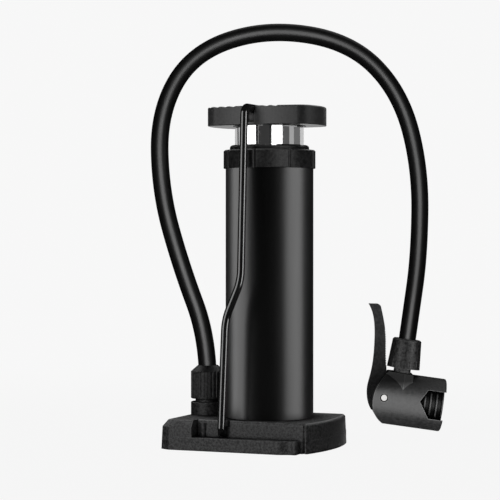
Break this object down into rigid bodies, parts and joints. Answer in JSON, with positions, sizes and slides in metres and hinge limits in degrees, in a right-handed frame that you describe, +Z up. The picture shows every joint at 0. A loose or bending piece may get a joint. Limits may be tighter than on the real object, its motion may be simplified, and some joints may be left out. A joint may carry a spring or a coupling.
{
  "type": "foot air pump",
  "caption": "Upright foot pump: black barrel on a floor base, spring-returned pedal locked by a swinging wire bail, stiff hose with a lever chuck.",
  "frame": {"origin": "on the floor under the barrel's axis, at the middle of the sole", "axes": "+Z up along the barrel, +X along the base away from the hose outlet, -Y the front"},
  "size_m": [0.1681, 0.1847, 0.2737],
  "materials": {
    "base_plastic": "black moulded plastic with a fine spark-eroded texture",
    "barrel_finish": "satin black coated aluminium tube",
    "cap_plastic": "black moulded plastic",
    "pedal_plastic": "black moulded plastic",
    "bush_plastic": "natural acetal",
    "seal_rubber": "black nitrile rubber",
    "fastener_steel": "zinc plated steel",
    "spring_steel": "drawn spring steel",
    "tube_chrome": "polished chrome plated tube",
    "wire_enamel": "gloss black coated steel wire",
    "nut_plastic": "black moulded plastic",
    "hose_rubber": "smooth satin black rubber",
    "chuck_plastic": "satin black moulded plastic",
    "lever_plastic": "satin black moulded plastic",
    "chuck_cap_plastic": "black ribbed plastic",
    "pin_steel": "turned bright steel"
  },
  "bodies": {
    "root": {"base_housing": "base_plastic", "sole_plate": "base_plastic", "sole_screws": "fastener_steel", "barrel_gasket": "seal_rubber", "barrel": "barrel_finish", "barrel_cap": "cap_plastic", "guide_bush": "bush_plastic", "wiper_ring": "seal_rubber", "spring_rod": "fastener_steel", "rod_screw": "fastener_steel", "spring_seat": "bush_plastic", "return_spring": "spring_steel", "valve_seat": "seal_rubber", "valve_spring": "spring_steel", "outlet_fitting": "nut_plastic", "base_hose_nut": "nut_plastic", "hose": "hose_rubber", "chuck_hose_nut": "nut_plastic", "chuck_fitting": "nut_plastic", "chuck_body": "chuck_plastic", "lever_pin": "pin_steel"},
    "pedal_set": {"pedal": "pedal_plastic", "pedal_screws": "fastener_steel", "tube_plug": "bush_plastic", "piston_tube": "tube_chrome", "piston_head": "bush_plastic", "piston_seal": "seal_rubber", "rod_seal": "seal_rubber"},
    "bail": {"bail_wire": "wire_enamel"},
    "lever": {"chuck_lever": "lever_plastic"},
    "plunger": {"chuck_plunger": "bush_plastic"},
    "cap": {"chuck_cap": "chuck_cap_plastic", "chuck_gasket": "seal_rubber"},
    "ball": {"valve_ball": "spring_steel"}
  },
  "joints": [
    {"name": "pedal_slide", "type": "slide", "parent": "root", "child": "pedal_set", "axis": [0, 0, 1], "range_m": [-0.0115, 0], "stiffness_N_per_m": 350, "springref_m": 0.04, "deforming": ["return_spring"]},
    {"name": "bail_swing", "type": "hinge", "parent": "root", "child": "bail", "pos_m": [-0.01625, 0, 0.0109], "axis": [0, 1, 0], "range_deg": [0, 87]},
    {"name": "lever_flip", "type": "hinge", "parent": "root", "child": "lever", "pos_m": [0.03883, 0.10935, 0.02411], "axis": [0.3746, -0.9272, 0], "range_deg": [0, 90]},
    {"name": "plunger_slide", "type": "slide", "parent": "root", "child": "plunger", "axis": [0.9182, 0.371, -0.1392], "range_m": [0, 0.002]},
    {"name": "cap_turn", "type": "hinge", "parent": "root", "child": "cap", "pos_m": [0.0693, 0.12166, 0.01869], "axis": [0.9182, 0.371, -0.1392], "continuous": true},
    {"name": "check_ball_lift", "type": "slide", "parent": "root", "child": "ball", "axis": [0, 0, 1], "range_m": [0, 0.0012], "stiffness_N_per_m": 60, "springref_m": -0.002, "deforming": ["valve_spring"]}
  ],
  "couplings": [
    {"joint": "plunger_slide", "follows": "lever_flip", "m_per_rad": 0.00127}
  ]
}
